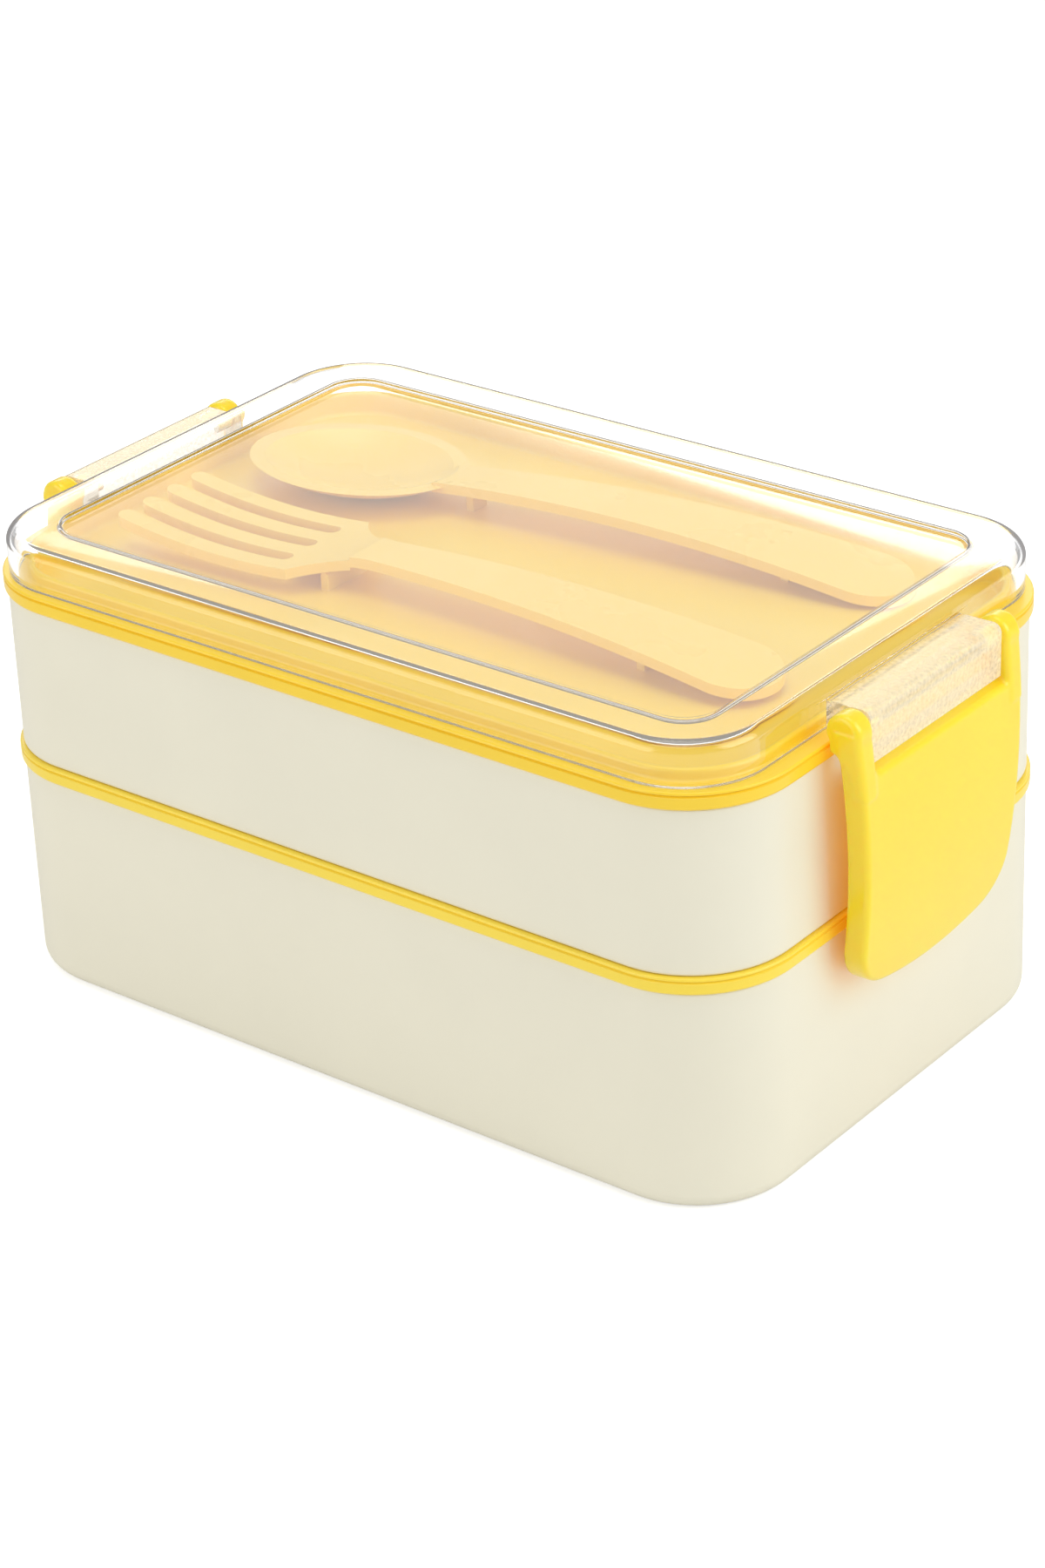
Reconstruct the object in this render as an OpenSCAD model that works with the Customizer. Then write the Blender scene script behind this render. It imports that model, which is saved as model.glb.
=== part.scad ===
// Two-tier lunch box: two tiers with a lid between them, a cutlery tray that
// closes the upper tier, a clear cover over it and a snap clip at each end.
// X runs along the box, Y across it and Z up; the origin is under its centre.

/* [Body] */
// Length of the tiers, outside
body_l = 187; // [170:1:200]
// Width of the tiers, outside
body_w = 120; // [105:1:125]
// Corner radius of the tiers in plan
corner_r = 21.5; // [18:0.5:26]
// Wall thickness of the tiers
wall = 2; // [1.6:0.1:2.4]
// Height of the lower tier
lower_h = 47.6; // [47:0.1:50]
// Height of the upper tier above the middle lid
upper_h = 34.6; // [34:0.1:36]
// Radius along the lower tier's base edge
base_fillet = 3.6; // [3:0.2:5]

/* [Middle lid and tray] */
// Distance that the two yellow edges stand out from the tiers
band_out = 0.8; // [0.4:0.1:0.9]
// Height of the middle lid's edge
band_h = 3.6; // [3.2:0.1:4.4]
// Height of the tray's edge
tray_band_h = 3.8; // [3.4:0.1:4.6]
// Depth of the plug under the middle lid and under the tray
plug_h = 5.5; // [5:0.1:6.5]
// Gap between a plug and the wall round it
plug_gap = 0.5; // [0.4:0.05:0.8]
// Height of the low wall round the tray's recess, above its edge
tray_wall_h = 2.4; // [2:0.1:3]
// Thickness of the tray's low wall
tray_wall_t = 1.6; // [1.2:0.1:2]
// Distance of the low wall from the outside of the tiers
tray_wall_in = 4.6; // [4.4:0.1:6]

/* [Clear lid] */
// Length of the clear lid
lid_l = 182.4; // [182:0.2:184]
// Width of the clear lid
lid_w = 118.4; // [103:0.2:124]
// Corner radius of the clear lid in plan
lid_r = 17.5; // [17:0.5:22]
// Height of the clear lid
lid_h = 9.1; // [9:0.1:11]
// Wall thickness of the clear lid
lid_t = 1.8; // [1.5:0.1:2]
// Radius along the lid's top edge
lid_fillet = 2.6; // [2:0.2:3.4]
// Length of the sunk panel in the lid's top
panel_l = 161; // [150:1:165]
// Width of the sunk panel in the lid's top
panel_w = 96.4; // [82:0.2:100]
// Corner radius of the sunk panel
panel_r = 7.4; // [6:0.2:12]
// Depth of the sunk panel
panel_sink = 1; // [0.6:0.1:1.2]

/* [Hinge lug and clip] */
// Distance of the clip's axis from the middle of the box
pivot_x = 98.1; // [98:0.1:98.4]
// Height of the clip's axis above the foot of the clear lid
pivot_up = 3; // [2.8:0.1:3.2]
// Radius of the clip's moulded stub pins
stub_r = 1.5; // [1.3:0.1:1.7]
// Running clearance round a stub pin
stub_gap = 0.06; // [0.04:0.01:0.1]
// Width of the hinge lug
lug_w = 44.8; // [42:0.2:45]
// Width of the clip across its ears
clip_w = 55.4; // [54:0.2:57]
// Width of the clip's sides at the lower end of their taper
clip_low_w = 50; // [48:0.2:52]
// Thickness of the clip's plate and sides
clip_t = 2; // [1.6:0.1:2.4]
// Depth of the clip's sides
clip_depth = 4.8; // [4.4:0.1:5]
// Radius of the clip's outward bulge
clip_bulge_r = 170; // [150:5:220]
// Radius of the clip's lower corners
clip_corner_r = 7; // [5:0.5:9]

/* [Cutlery] */
// Length of the spoon
spoon_l = 153; // [140:1:155]
// Length of the fork
fork_l = 152; // [140:1:154]
// Thickness of the cutlery
cutlery_t = 2.2; // [1.8:0.1:2.4]

/* [Hidden] */
$fn = 64;
fine = 400;
eps = 0.01;
CREAM = [0.93, 0.91, 0.84];
YELLOW = [0.99, 0.85, 0.27];
CLEAR = [0.85, 0.88, 0.9, 0.4];
SILICONE = [0.96, 0.96, 0.94];

half_l = body_l / 2;
half_w = body_w / 2;
lid_hl = lid_l / 2;
lid_hw = lid_w / 2;

// Heights, from the floor up
upper_z = lower_h + band_h;
tray_z = upper_z + upper_h;
lid_z = tray_z + tray_band_h;
lid_top = lid_z + lid_h + 0.1;
pivot_z = lid_z + pivot_up;

// Lower tier
base_sink = 1;
foot_in = 12;
ledge_out = 2.1;
ledge_w = 32;
ledge_low = lower_h - 3.6;
ledge_high = lower_h - 0.8;

// Nest between the middle lid and the upper tier
nest_in = 4.6;
nest_floor = 1.4;
nest_gap = 0.5;
edge_r = 0.8;

// Plugs and their seals
plug_t = 2;
groove_low = 4.2;
groove_high = 2;
groove_in = 1;

// Upper tier's floor, and the food divider with its rib slots
upper_floor = upper_z + 1.8;
foot_drop = 1.9;
foot_ring = 4;
divider_x = 16;
divider_t = 1.6;
divider_top = tray_z - plug_h - 0.9;
divider_side = 0.6;
rib_t = 1.2;
rib_out = 1.7;
rib_slack = 0.35;

// Tray
tray_floor = tray_z + 1.2;
// The four saddles: X, lowest Y, highest Y, and depth under the cutlery's rest
saddle_places = [[-28, -26, -7, 2.2], [46, -21, -9, 1.9], [-28, 20, 27, 1.4], [46, 27, 38, 2.8]];
saddle_t = 2;

// Clear lid and lug
panel_under = 1.8;
lug_out = 100.8;
lug_top = lid_z + 6.2;
lug_low = lid_z - 4.7;
lug_round = 1.6;
lug_back = half_l + band_out + 0.5;
hole_deep = 4.4;

// Clip
bulge_x = 103.1 - clip_bulge_r;
bulge_z = lid_z - 20.8;
ear_r = 3.8;
ear_back = half_l + band_out + 0.6;
ear_gap = 0.4;
ear_in = lug_w / 2 + ear_gap;
ear_low = pivot_z - 12.8;
ear_cove_r = 6.4;
ear_cove_x = ear_back - 1.3;
ear_cove_z = ear_low + 2;
clip_low_z = 34.9;
clip_belly_r = 75;
clip_taper_z = 40;
// The corner arcs stand proud by a hair, so that they cross the edges they round
corner_proud = 0.04;
notch_z = lid_z - 5.8;
notch_r = 1.5;
lip_t = 2.5;
clip_room = 20;
hook_w = 28;
hook_tip = half_l + ledge_out + 0.2;
hook_top = ledge_low - 0.7;
hook_t = 2.4;
hook_back = 101;

// Cutlery
cutlery_rest = lid_z + 3.6;
bowl_l = 50;
bowl_w = 36;
bowl_deep = 6;
fork_w = 27;
tine_l = 40;
tine_w = 4.2;

// ---------- shared shapes ----------

// Section of a block with rounded lower and upper outer edges
module edge_section(r, z0, z1, lo, hi) {
    translate([0, z0 + lo]) square([r, z1 - z0 - lo - hi]);
    translate([0, z0]) square([r - lo, z1 - z0]);
    if (lo > 0) translate([r - lo, z0 + lo]) circle(lo);
    if (hi > 0) translate([r - hi, z1 - hi]) circle(hi);
}

// Carries a section round a rounded rectangle; the section's x is measured from
// the corner centres
module swept(hl, hw, r) {
    for (q = [0 : 3]) {
        sx = (q == 0 || q == 3) ? 1 : -1;
        sy = q < 2 ? 1 : -1;
        translate([sx * (hl - r), sy * (hw - r), 0])
            rotate([0, 0, 90 * q]) rotate_extrude(angle = 90) children();
    }
    for (turn = [0, 180]) {
        rotate([0, 0, turn]) translate([hl - r, 0, 0]) rotate([90, 0, 0])
            linear_extrude(2 * (hw - r), center = true) children();
        rotate([0, 0, turn + 90]) translate([hw - r, 0, 0]) rotate([90, 0, 0])
            linear_extrude(2 * (hl - r), center = true) children();
    }
}

// Block with a rounded plan and rounded lower and upper edges
module round_block(hl, hw, r, z0, z1, lo = 0, hi = 0) {
    swept(hl, hw, r) edge_section(r, z0, z1, lo, hi);
    translate([-(hl - r), -(hw - r), z0]) cube([2 * (hl - r), 2 * (hw - r), z1 - z0]);
}

// Block that follows the tiers' outline at a distance inside it
module inset_block(inset, z0, z1, lo = 0, hi = 0) {
    round_block(half_l - inset, half_w - inset, corner_r - inset, z0, z1, lo, hi);
}

// Plug under a lid, with a groove for its seal; top_z is the tier's rim
module plug(top_z) {
    difference() {
        inset_block(wall + plug_gap, top_z - plug_h, top_z + eps, 0.6);
        inset_block(wall + plug_gap + plug_t, top_z - plug_h - 1, top_z);
        plug_groove(top_z);
    }
}

module plug_groove(top_z) {
    difference() {
        inset_block(wall, top_z - groove_low, top_z - groove_high);
        inset_block(wall + plug_gap + groove_in, top_z - plug_h, top_z);
    }
}

// Seal in a plug's groove: flat against the plug, rounded towards the wall
module seal_ring(top_z) {
    r_in = corner_r - wall - plug_gap - groove_in;
    r_out = corner_r - wall - 0.15;
    nose = 0.8;
    mid_z = top_z - (groove_low + groove_high) / 2;
    thick = groove_low - groove_high;
    swept(half_l, half_w, corner_r) {
        translate([r_in, mid_z - thick / 2]) square([groove_in, thick]);
        translate([r_in, mid_z - nose]) square([r_out - nose - r_in, 2 * nose]);
        intersection() {
            translate([r_out - nose, mid_z]) circle(nose);
            translate([r_in + groove_in / 2, mid_z - thick]) square([2, 2 * thick]);
        }
    }
}

// ---------- lower tier ----------

// Ledge on an end wall, which the clip's hook catches
module catch_ledge() {
    root = half_l - wall / 2;
    tip = half_l + ledge_out;
    rotate([90, 0, 0]) linear_extrude(ledge_w, center = true) polygon([
        [root, ledge_low - 0.8], [tip, ledge_low + 0.4], [tip, ledge_high - 0.8],
        [tip - 0.8, ledge_high], [root, ledge_high]]);
}

module lower_box() {
    color(CREAM) difference() {
        union() {
            inset_block(0, 0, lower_h, base_fillet);
            for (turn = [0, 180]) rotate([0, 0, turn]) catch_ledge();
        }
        inset_block(wall, base_sink + wall, lower_h + 1, base_fillet - wall);
        inset_block(foot_in, -1, base_sink);
    }
}

// ---------- middle lid ----------

module middle_lid() {
    color(YELLOW) {
        difference() {
            inset_block(-band_out, lower_h, upper_z, edge_r, edge_r / 2);
            inset_block(nest_in, lower_h + nest_floor, upper_z + 1);
        }
        plug(lower_h);
    }
}

module middle_seal() {
    color(SILICONE) seal_ring(lower_h);
}

// ---------- upper tier ----------

// Two ribs on each long wall, with the food divider's slot between them
module divider_ribs() {
    low_z = upper_floor + 2;
    for (side = [-1, 1], pair = [-1, 1]) {
        x = divider_x + pair * (divider_t / 2 + rib_slack + rib_t / 2);
        translate([x - rib_t / 2, side > 0 ? half_w - wall - rib_out : -half_w + wall - eps, low_z])
            cube([rib_t, rib_out + eps, divider_top - low_z]);
    }
}

module upper_box() {
    foot_edge = nest_in + nest_gap;
    color(CREAM) difference() {
        union() {
            inset_block(0, upper_z, tray_z, edge_r);
            inset_block(foot_edge, upper_z - foot_drop, upper_z + 1, edge_r);
        }
        difference() {
            inset_block(wall, upper_floor, tray_z + 1, base_fillet - wall);
            divider_ribs();
        }
        inset_block(foot_edge + foot_ring, upper_z - foot_drop - 1, upper_z - 0.2);
    }
}

module food_divider() {
    half = half_w - wall - divider_side;
    low_z = upper_floor + 0.4;
    bottom_r = base_fillet;
    bead = 1.2;
    color(CREAM) {
        translate([divider_x, 0, 0]) rotate([90, 0, 90])
            linear_extrude(divider_t, center = true) {
                translate([-half, low_z + bottom_r])
                    square([2 * half, divider_top - low_z - bottom_r - bead]);
                translate([-half + bottom_r, low_z])
                    square([2 * (half - bottom_r), divider_top - low_z - bead]);
                for (side = [-1, 1])
                    translate([side * (half - bottom_r), low_z + bottom_r]) circle(bottom_r);
            }
        translate([divider_x, 0, divider_top - bead]) rotate([90, 0, 0])
            cylinder(r = bead, h = 2 * (half - 3), center = true);
    }
}

// ---------- cutlery tray ----------

// Low wall round the tray's recess, with a round top
module tray_wall_ring() {
    r_out = corner_r - tray_wall_in;
    swept(half_l, half_w, corner_r) {
        translate([r_out - tray_wall_t, tray_floor])
            square([tray_wall_t, lid_z + tray_wall_h - tray_floor - tray_wall_t / 2]);
        translate([r_out - tray_wall_t / 2, lid_z + tray_wall_h - tray_wall_t / 2])
            circle(tray_wall_t / 2);
    }
}

// Low ribs across the tray's floor, on which the cutlery lies
module saddles() {
    round_r = saddle_t / 2;
    for (place = saddle_places) {
        top = cutlery_rest - place[3];
        long = place[2] - place[1];
        translate([place[0] - round_r, place[1], tray_floor - eps])
            cube([saddle_t, long, top - tray_floor - round_r + eps]);
        translate([place[0], place[1], top - round_r]) rotate([-90, 0, 0])
            cylinder(r = round_r, h = long);
    }
}

module cutlery_tray() {
    color(YELLOW) {
        difference() {
            inset_block(-band_out, tray_z, lid_z, edge_r, edge_r / 2);
            inset_block(tray_wall_in + tray_wall_t, tray_floor, lid_z + 1, 0.5);
        }
        tray_wall_ring();
        saddles();
        plug(tray_z);
    }
}

module tray_seal() {
    color(SILICONE) seal_ring(tray_z);
}

// ---------- cutlery ----------

// Centre of the arc of radius r that bulges up between points a and b
function arc_centre(a, b, r) =
    let (d = b - a, half = norm(d) / 2, m = (a + b) / 2)
    m + [d[1], -d[0]] / norm(d) * sqrt(r * r - half * half);

// Band of an arc of radius r between a and b, thick towards the outside
module arc_band(a, b, r, thick) {
    c = arc_centre(a, b, r);
    intersection() {
        translate(c) difference() {
            circle(r + thick, $fn = 4 * fine);
            circle(r, $fn = 4 * fine);
        }
        translate([a[0], min(a[1], b[1]) - 10]) square([b[0] - a[0], 40]);
    }
}

// Plan of a handle that widens from neck to a round end
module handle_plan(x0, x1, neck, wide) {
    r = wide / 2;
    polygon([[x0, -neck / 2], [x1 - r, -r], [x1 - r, r], [x0, neck / 2]]);
    translate([x1 - r, 0]) circle(r);
}

// Spindle of revolution about X, whose lower part is the spoon's bowl
module spindle(shrink) {
    // Depth and half width fix the spindle's radius and the height of its axis
    low = (bowl_deep + pow(bowl_w / 2, 2) / bowl_deep) / 2;
    rise = low - bowl_deep;
    arc_r = (pow(bowl_l / 2, 2) + pow(bowl_deep, 2)) / (2 * bowl_deep);
    translate([0, 0, rise]) rotate([0, 90, 0]) rotate_extrude($fn = 2 * 64) intersection() {
        translate([low - arc_r, 0]) circle(arc_r - shrink, $fn = fine);
        translate([0, -bowl_l]) square([low + 1, 2 * bowl_l]);
    }
}

module spoon_body() {
    end_x = spoon_l - bowl_l / 2;
    a = [bowl_l / 2 - 4, -1.6];
    b = [end_x, -6];
    difference() {
        union() {
            intersection() {
                spindle(0);
                translate([-bowl_l, -bowl_w, -2 * bowl_deep])
                    cube([2 * bowl_l, 2 * bowl_w, 2 * bowl_deep]);
            }
            intersection() {
                linear_extrude(30, center = true) handle_plan(a[0], end_x, 10, 19);
                rotate([90, 0, 0]) linear_extrude(bowl_w, center = true)
                    arc_band(a, b, 420, cutlery_t);
            }
        }
        intersection() {
            spindle(cutlery_t * 0.7);
            translate([-bowl_l, -bowl_w, -2 * bowl_deep])
                cube([2 * bowl_l, 2 * bowl_w, 2 * bowl_deep + 1]);
        }
    }
}

module spoon() {
    color(YELLOW) translate([-55.6, 20.3, cutlery_rest]) rotate([0, 0, 7]) spoon_body();
}

// Plan of the fork: four tines, a palm with hollow shoulders and a handle
module fork_plan() {
    palm = 15;
    gap = (fork_w - 4 * tine_w) / 3;
    shoulder_r = 18;
    for (i = [0 : 3]) {
        y = -fork_w / 2 + tine_w / 2 + i * (tine_w + gap);
        translate([-palm - tine_l + tine_w / 2, y - tine_w / 2]) square([tine_l, tine_w]);
        translate([-palm - tine_l + tine_w / 2, y]) circle(tine_w / 2);
    }
    difference() {
        translate([-palm, -fork_w / 2]) square([palm + 5, fork_w]);
        for (i = [0 : 2]) {
            y = -fork_w / 2 + tine_w + gap / 2 + i * (tine_w + gap);
            translate([-palm, y]) circle(gap / 2);
        }
        for (side = [-1, 1])
            translate([5, side * (5 + shoulder_r)]) circle(shoulder_r);
    }
    handle_plan(0, fork_l - palm - tine_l, 9.6, 19);
}

module fork_body() {
    root = [0, -0.4];
    end = [fork_l - 50, -5.6];
    // The tines and palm lie on an arc that dips between tip and root
    dish_x = -27;
    dish_r = 155.4;
    dish_deep = 3.4;
    palm_end = 60;
    intersection() {
        linear_extrude(40, center = true) fork_plan();
        rotate([90, 0, 0]) linear_extrude(2 * fork_w, center = true) {
            intersection() {
                translate([dish_x, dish_r - dish_deep]) difference() {
                    circle(dish_r, $fn = 4 * fine);
                    circle(dish_r - cutlery_t, $fn = 4 * fine);
                }
                translate([-palm_end, -dish_deep - 1]) square([palm_end, 8]);
            }
            arc_band(root - [eps, 0], end, 480, cutlery_t);
        }
    }
}

module fork() {
    color(YELLOW) translate([-22.6, -16.7, cutlery_rest]) rotate([0, 0, 1.5]) fork_body();
}

// ---------- clear lid ----------

module lug() {
    difference() {
        rotate([90, 0, 0]) linear_extrude(lug_w, center = true) {
            translate([lid_hl - lid_t / 2, lid_z + 0.6])
                square([lug_out - lug_round - lid_hl + lid_t / 2, lug_top - lid_z - 0.6]);
            translate([lug_back, lug_low]) square([lug_out - lug_back, lug_top - lug_round - lug_low]);
            translate([lug_out - lug_round, lug_top - lug_round]) circle(lug_round);
        }
        for (side = [-1, 1])
            translate([pivot_x, side * (lug_w / 2 - hole_deep / 2 + eps), pivot_z]) rotate([90, 0, 0])
                cylinder(r = stub_r + stub_gap, h = hole_deep + 2 * eps, center = true);
    }
}

module lid() {
    foot = lid_z + 0.1;
    rim_under = lid_top - lid_t;
    panel_z = lid_top - panel_sink;
    boss = 1.2;
    color(CLEAR) {
        difference() {
            round_block(lid_hl, lid_hw, lid_r, foot, lid_top, 0, lid_fillet);
            difference() {
                round_block(lid_hl - lid_t, lid_hw - lid_t, lid_r - lid_t, foot - 1, rim_under, 0, 1.2);
                round_block(panel_l / 2 + boss, panel_w / 2 + boss, panel_r + boss,
                    panel_z - panel_under, rim_under + 1, 0.6);
            }
            round_block(panel_l / 2, panel_w / 2, panel_r, panel_z, lid_top + 1, 0.5);
        }
        for (turn = [0, 180]) rotate([0, 0, turn]) lug();
    }
}

// ---------- clips ----------

// Front outline of the clip, drawn in from its edge by t: tapered sides, round
// lower corners and a shallow belly
module clip_outline(t) {
    top = [clip_w / 2, pivot_z];
    low = [clip_low_w / 2, clip_taper_z];
    d = (low - top) / norm(low - top);
    n = [d[1], -d[0]];
    b = [0, clip_low_z + clip_belly_r];
    rc = clip_corner_r - t;
    v = top + n * clip_corner_r - b;
    vd = v * d;
    c = v + b + d * (sqrt(vd * vd - v * v + pow(clip_belly_r - clip_corner_r, 2)) - vd);
    side_top = top + n * t;
    side_low = side_top + d * 2 * norm(low - top);
    beyond = clip_corner_r + 5;
    difference() {
        intersection() {
            polygon([side_top, side_low, [-side_low[0], side_low[1]], [-side_top[0], side_top[1]]]);
            translate(b) circle(clip_belly_r - t, $fn = fine);
        }
        // What the round corners leave off
        for (side = [0, 1]) mirror([side, 0]) difference() {
            polygon([c, c - n * beyond, c + [2, -2] * beyond,
                c + (c - b) / norm(c - b) * beyond]);
            translate(c) circle(rc + corner_proud);
        }
    }
}

// Extrudes an outline drawn in Y and Z along X
module along_x(x0, x1) {
    translate([x0, 0, 0]) rotate([90, 0, 90]) linear_extrude(x1 - x0) children();
}

// Disc of the bulge, drawn in X and Z, its edge moved in by t
module bulge_disc(t) {
    translate([bulge_x, bulge_z]) circle(clip_bulge_r - t, $fn = 4 * fine);
}

module clip_shell() {
    difference() {
        intersection() {
            along_x(half_l, half_l + clip_room) clip_outline(0);
            rotate([90, 0, 0]) linear_extrude(clip_w + 2, center = true) difference() {
                bulge_disc(0);
                bulge_disc(clip_depth);
            }
        }
        intersection() {
            along_x(half_l - 1, half_l + clip_room) difference() {
                clip_outline(clip_t);
                translate([-clip_w, notch_z - lip_t]) square([2 * clip_w, 40]);
            }
            rotate([90, 0, 0]) linear_extrude(clip_w + 2, center = true) bulge_disc(clip_t);
        }
        // Notch round the lug
        along_x(half_l - 2, half_l + clip_room) {
            translate([-ear_in, notch_z + notch_r]) square([2 * ear_in, 40]);
            translate([-ear_in + notch_r, notch_z]) square([2 * (ear_in - notch_r), 40]);
            for (side = [-1, 1])
                translate([side * (ear_in - notch_r), notch_z + notch_r]) circle(notch_r);
        }
    }
}

// Side of one ear: a round eye that runs down into the clip's side in a cove
module ear_section() {
    translate([pivot_x, pivot_z]) circle(ear_r);
    intersection() {
        difference() {
            translate([ear_back, ear_low]) square([2 * ear_r, pivot_z - ear_low]);
            translate([ear_cove_x, ear_cove_z]) circle(ear_cove_r);
            translate([ear_cove_x, ear_low - 1]) square([ear_cove_r, ear_cove_z - ear_low + 1]);
        }
        bulge_disc(0);
    }
}

module clip() {
    ear_t = clip_w / 2 - ear_in;
    stub_l = hole_deep - 0.4;
    color(YELLOW) {
        difference() {
            clip_shell();
            // The lower rim stands back where it passes the ledge
            translate([hook_tip - clip_depth, -ledge_w / 2 - 1, clip_low_z - 1])
                cube([clip_depth, ledge_w + 2, ledge_low - clip_low_z + 1]);
        }
        for (side = [-1, 1]) {
            translate([0, side * (ear_in + ear_t / 2), 0]) rotate([90, 0, 0])
                linear_extrude(ear_t, center = true) ear_section();
            translate([pivot_x, side * (ear_in - (stub_l - eps) / 2), pivot_z]) rotate([90, 0, 0])
                cylinder(r = stub_r, h = stub_l + eps, center = true);
        }
        // Hook that reaches under the lower tier's ledge when the clip is pressed home
        rotate([90, 0, 0]) linear_extrude(hook_w, center = true) intersection() {
            polygon([[hook_tip, hook_top - hook_t + 1], [hook_tip, hook_top - 0.5],
                [hook_tip + 0.5, hook_top], [hook_back, hook_top],
                [hook_back, hook_top - hook_t], [hook_tip + 1, hook_top - hook_t]]);
            bulge_disc(clip_t - eps);
        }
    }
}

module clip_right() {
    clip();
}

module clip_left() {
    rotate([0, 0, 180]) clip();
}

lower_box();
middle_lid();
middle_seal();
upper_box();
food_divider();
cutlery_tray();
tray_seal();
spoon();
fork();
lid();
clip_right();
clip_left();
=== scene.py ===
import math

import bmesh
import bpy
import numpy as np
from mathutils import Matrix, Vector


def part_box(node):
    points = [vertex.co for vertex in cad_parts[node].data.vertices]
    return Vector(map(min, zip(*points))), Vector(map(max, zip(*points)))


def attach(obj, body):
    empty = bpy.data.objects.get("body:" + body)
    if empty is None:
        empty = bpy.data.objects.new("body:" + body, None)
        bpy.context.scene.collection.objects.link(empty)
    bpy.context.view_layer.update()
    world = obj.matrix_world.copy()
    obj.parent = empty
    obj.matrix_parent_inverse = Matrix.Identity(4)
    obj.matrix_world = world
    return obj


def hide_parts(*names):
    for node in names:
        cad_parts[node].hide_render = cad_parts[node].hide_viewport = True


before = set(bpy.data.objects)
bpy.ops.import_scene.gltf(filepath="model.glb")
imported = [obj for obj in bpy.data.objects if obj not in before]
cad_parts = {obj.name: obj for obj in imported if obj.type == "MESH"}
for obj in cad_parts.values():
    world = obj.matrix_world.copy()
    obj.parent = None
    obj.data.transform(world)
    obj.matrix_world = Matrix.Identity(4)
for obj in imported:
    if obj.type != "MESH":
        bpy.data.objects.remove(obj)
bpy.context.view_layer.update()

# ---------------------------------------------------------------------------
# Lower box. The deeper tier, injection moulded in cream polypropylene with an
# even wall, a rounded base edge and a foot ring. The clips' hooks snap under a
# ledge on each end wall.

MM = 0.001
box_low, box_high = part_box("upper_box")
half_l = box_high.x
half_w = box_high.y
corner_r = 21.5 * MM
wall = 2 * MM
base_fillet = 3.6 * MM
base_sink = 1 * MM
foot_in = 12 * MM
foot_bevel = 0.3 * MM
sink_bevel = 0.1 * MM
sink_start = 0.6 * MM
rim_r = 0.5 * MM
lower_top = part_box("lower_box")[1].z
ledge_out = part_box("lower_box")[1].x - half_l
ledge_w = 32 * MM
ledge_low = lower_top - 3.6 * MM
ledge_high = lower_top - 0.8 * MM
ledge_bevel = 0.8 * MM

CREAM = (235, 230, 209)
CORNER_STEPS = 18
SIDE_STEPS = 12
BAR_FACETS = 3
SHARP_TURN = math.radians(40)


def arc(out, z, radius, start, end, steps=7):
    """Points of an arc in a wall's section, from one angle to another in degrees."""
    turns = [math.radians(start + (end - start) * i / steps) for i in range(steps + 1)]
    return [(out + radius * math.cos(t), z + radius * math.sin(t)) for t in turns]


def circle(out, z, radius):
    """Points of a full circle in a bar's section."""
    return arc(out, z, radius, 0, 345, 23)


def ring(long_half, short_half, radius):
    """One turn round a rounded rectangle, with its straight sides split up."""
    points = []
    corners = [(1, 1, 0), (-1, 1, 90), (-1, -1, 180), (1, -1, 270)]
    for sx, sy, start in corners:
        for i in range(CORNER_STEPS + 1):
            t = math.radians(start + 90 * i / CORNER_STEPS)
            points.append((sx * (long_half - radius) + radius * math.cos(t),
                           sy * (short_half - radius) + radius * math.sin(t)))
    split = []
    for i, point in enumerate(points):
        split.append(point)
        if i % (CORNER_STEPS + 1) == CORNER_STEPS:
            after = points[(i + 1) % len(points)]
            for k in range(1, SIDE_STEPS):
                share = k / SIDE_STEPS
                split.append((point[0] + (after[0] - point[0]) * share,
                              point[1] + (after[1] - point[1]) * share))
    return split


def new_piece(name, bm):
    """Turns a bmesh into a smooth-shaded object whose true corners stay sharp."""
    bmesh.ops.recalc_face_normals(bm, faces=bm.faces)
    mesh = bpy.data.meshes.new(name)
    bm.to_mesh(mesh)
    bm.free()
    mesh.polygons.foreach_set("use_smooth", [True] * len(mesh.polygons))
    mesh.set_sharp_from_angle(angle=SHARP_TURN)
    piece = bpy.data.objects.new(name, mesh)
    bpy.context.scene.collection.objects.link(piece)
    even = piece.modifiers.new("even_shading", "WEIGHTED_NORMAL")
    even.keep_sharp = True
    return piece


def moulded_skin(name, section, plan, closed=False):
    """Carries a wall section round a rounded rectangle. Each point is its distance
    outward and its height, with its own corner radius where the corners differ."""
    long_half, short_half, radius = plan
    bm = bmesh.new()
    rings = []
    for out, z, *own in section:
        turn = ring(long_half + out, short_half + out, own[0] if own else radius + out)
        rings.append([bm.verts.new((x, y, z)) for x, y in turn])
    pairs = list(zip(rings, rings[1:]))
    if closed:
        pairs.append((rings[-1], rings[0]))
    for a, b in pairs:
        for i in range(len(a)):
            k = (i + 1) % len(a)
            bm.faces.new((a[i], a[k], b[k], b[i]))
    if not closed:
        bm.faces.new(rings[0])
        bm.faces.new(rings[-1])
    return new_piece(name, bm)


def bar(name, section, length, centre, round_edge, turn=0):
    """A bar along Y with a section in X and Z, its edges rounded, turned about Z."""
    bm = bmesh.new()
    ends = [[bm.verts.new((x, y, z)) for x, z in section]
            for y in (centre - length / 2, centre + length / 2)]
    for i in range(len(section)):
        k = (i + 1) % len(section)
        bm.faces.new((ends[0][i], ends[0][k], ends[1][k], ends[1][i]))
    for end in ends:
        bm.faces.new(end)
    bmesh.ops.bevel(bm, geom=bm.edges[:], offset=round_edge, segments=BAR_FACETS, profile=0.5,
                    affect="EDGES", clamp_overlap=True)
    bmesh.ops.rotate(bm, verts=bm.verts, cent=(0, 0, 0),
                     matrix=Matrix.Rotation(math.radians(turn), 3, "Z"))
    return new_piece(name, bm)


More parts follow.
